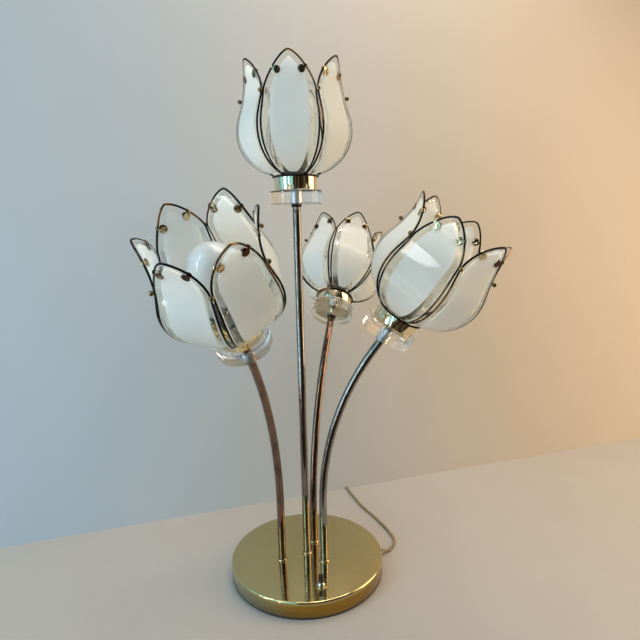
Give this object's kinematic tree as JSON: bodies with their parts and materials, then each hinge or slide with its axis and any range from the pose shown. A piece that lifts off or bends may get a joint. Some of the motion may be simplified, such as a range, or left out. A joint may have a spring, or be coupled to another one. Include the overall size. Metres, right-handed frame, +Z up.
{
  "type": "table lamp",
  "caption": "Bouquet table lamp: glass lotus flowers with opal bulbs on curved brass stems over clear discs and a round weighted brass base with a rotary switch and a gold cord",
  "frame": {"origin": "On the table under the middle of the round base, at mount base_rest", "axes": "+Z points up along the straight stem, +Y points to the back of the lamp, away from the switch, and +X points to the right as seen from the front"},
  "size_m": [0.4823, 0.6336, 0.8084],
  "materials": {
    "aged_brass": "aged polished brass tube and pan, worn to a soft olive gold",
    "polished_brass": "mirror polished spun brass",
    "dark_brass": "antique brass wire, darkened",
    "clip_brass": "brass plates, partly tarnished",
    "black_metal": "blackened steel",
    "zinc_steel": "zinc plated steel",
    "nickel": "bright nickel plate",
    "cast_iron": "raw cast iron",
    "felt": "black wool felt",
    "clear_acrylic": "clear polished acrylic",
    "satin_glass": "clear glass with a satin white leaf-shaped panel",
    "opal_glass": "glossy opal white glass",
    "black_phenolic": "black moulded phenolic",
    "brown_plastic": "dark brown moulded plastic",
    "red_plastic": "red moulded plastic",
    "gold_cord": "clear gold vinyl over copper strands",
    "black_tie": "black strap"
  },
  "bodies": {
    "lamp": {"base_shell": "aged_brass", "base_weight": "cast_iron", "felt_pad": "felt", "stem_ferrules": "nickel", "stem_washers": "zinc_steel", "stem_locknuts": "polished_brass", "switch_housing": "black_phenolic", "switch_nut": "nickel", "cord_bushing": "black_phenolic", "splice_caps": "red_plastic", "stem_leads": "gold_cord", "centre_stem": "aged_brass", "left_stem": "aged_brass", "right_stem": "aged_brass", "back_stem": "aged_brass", "neck_collars": "black_metal", "flower_nipples": "zinc_steel", "disc_spacers": "zinc_steel", "cup_locknuts": "polished_brass", "joint_beads": "dark_brass", "top_disc": "clear_acrylic", "left_disc": "clear_acrylic", "right_disc": "clear_acrylic", "back_disc": "clear_acrylic", "top_cup": "polished_brass", "left_cup": "polished_brass", "right_cup": "polished_brass", "back_cup": "polished_brass", "top_petals": "satin_glass", "left_petals": "satin_glass", "right_petals": "satin_glass", "back_petals": "satin_glass", "top_petal_wires": "dark_brass", "left_petal_wires": "dark_brass", "right_petal_wires": "dark_brass", "back_petal_wires": "dark_brass", "top_petal_clips": "clip_brass", "left_petal_clips": "clip_brass", "right_petal_clips": "clip_brass", "back_petal_clips": "clip_brass", "top_lampholder": "black_phenolic", "left_lampholder": "black_phenolic", "right_lampholder": "black_phenolic", "back_lampholder": "black_phenolic", "cord": "gold_cord", "cord_tail": "gold_cord", "cord_coil": "gold_cord", "coil_tie": "black_tie", "plug_body": "gold_cord", "plug_blades": "polished_brass"},
    "knob": {"switch_knob": "brown_plastic"},
    "top_bulb_unit": {"top_bulb": "opal_glass", "top_bulb_cap": "nickel"},
    "left_bulb_unit": {"left_bulb": "opal_glass", "left_bulb_cap": "nickel"},
    "right_bulb_unit": {"right_bulb": "opal_glass", "right_bulb_cap": "nickel"},
    "back_bulb_unit": {"back_bulb": "opal_glass", "back_bulb_cap": "nickel"}
  },
  "joints": [
    {"name": "switch_turn", "type": "hinge", "parent": "lamp", "child": "knob", "pos_m": [0.01991, -0.08982, 0.0413], "axis": [0, 0, 1], "continuous": true},
    {"name": "top_bulb_travel", "type": "slide", "parent": "lamp", "child": "top_bulb_unit", "axis": [0, 0, 1], "range_m": [0, 0.012]},
    {"name": "left_bulb_travel", "type": "slide", "parent": "lamp", "child": "left_bulb_unit", "axis": [-0.1913, -0.5255, 0.829], "range_m": [0, 0.012]},
    {"name": "right_bulb_travel", "type": "slide", "parent": "lamp", "child": "right_bulb_unit", "axis": [0.5325, -0.2316, 0.8141], "range_m": [0, 0.012]},
    {"name": "back_bulb_travel", "type": "slide", "parent": "lamp", "child": "back_bulb_unit", "axis": [0.2093, 0.6078, 0.766], "range_m": [0, 0.012]}
  ]
}
